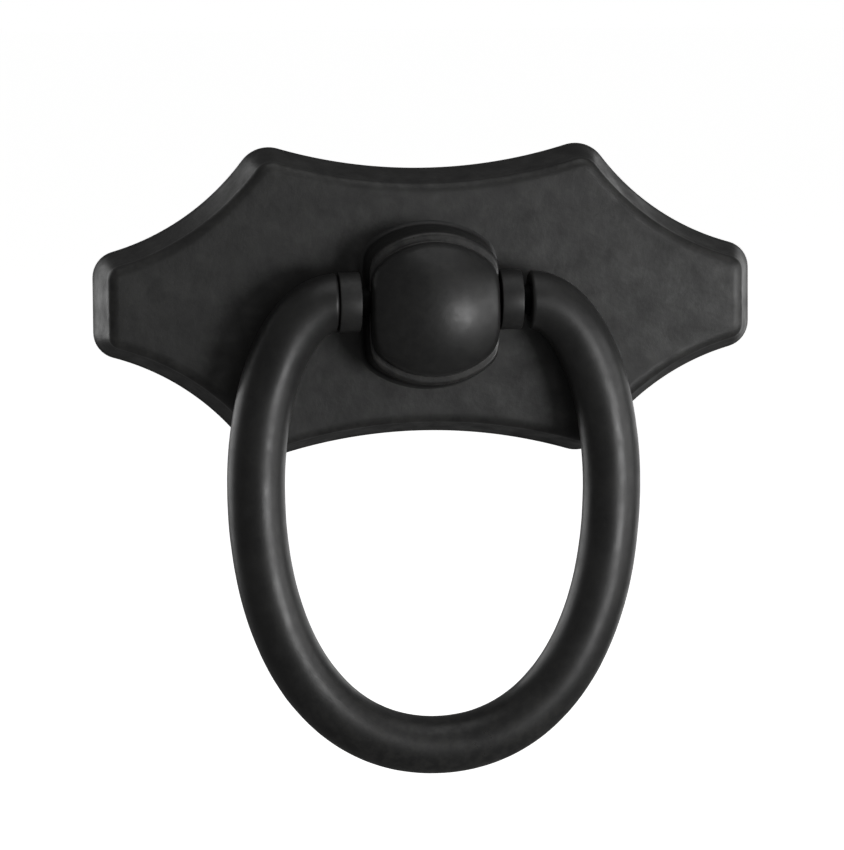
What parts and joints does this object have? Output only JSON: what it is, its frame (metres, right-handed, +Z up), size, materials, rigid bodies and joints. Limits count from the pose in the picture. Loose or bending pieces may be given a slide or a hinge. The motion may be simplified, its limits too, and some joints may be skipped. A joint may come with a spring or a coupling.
{
  "type": "door knocker",
  "caption": "Black iron ring door knocker: an oval ring hangs from a domed post on a six-cornered plate, fixed through the door by studs and dome nuts.",
  "frame": {"origin": "middle of the backplate's back, on the door's outside face, level with the two studs", "axes": "+X to the right along the plate, +Y into the door, +Z up; the ring and everything outside the door has a negative Y"},
  "size_m": [0.1122, 0.0782, 0.1053],
  "materials": {
    "plate_iron": "satin black coating over a slightly mottled casting",
    "post_iron": "satin black coating, smoother than the plate",
    "ring_iron": "satin black coating, slightly worn where the hand holds it",
    "collar_iron": "satin black coating",
    "pin_steel": "blackened plain steel",
    "screw_steel": "black oxide",
    "zinc_steel": "bright zinc plate",
    "nut_steel": "black coating to match the plate"
  },
  "bodies": {
    "mounting": {"backplate": "plate_iron", "ring_post": "post_iron", "pivot_collar_left": "collar_iron", "pivot_collar_right": "collar_iron", "post_screw": "screw_steel", "stud_left": "zinc_steel", "stud_right": "zinc_steel", "washer_left": "zinc_steel", "washer_right": "zinc_steel", "dome_nut_left": "nut_steel", "dome_nut_right": "nut_steel"},
    "knocker": {"knocker_ring": "ring_iron", "pivot_pin": "pin_steel"}
  },
  "joints": [
    {"name": "ring_swing", "type": "hinge", "parent": "mounting", "child": "knocker", "pos_m": [0, -0.014, 0.0009], "axis": [-1, 0, 0], "range_deg": [-3.5, 183.5]}
  ]
}
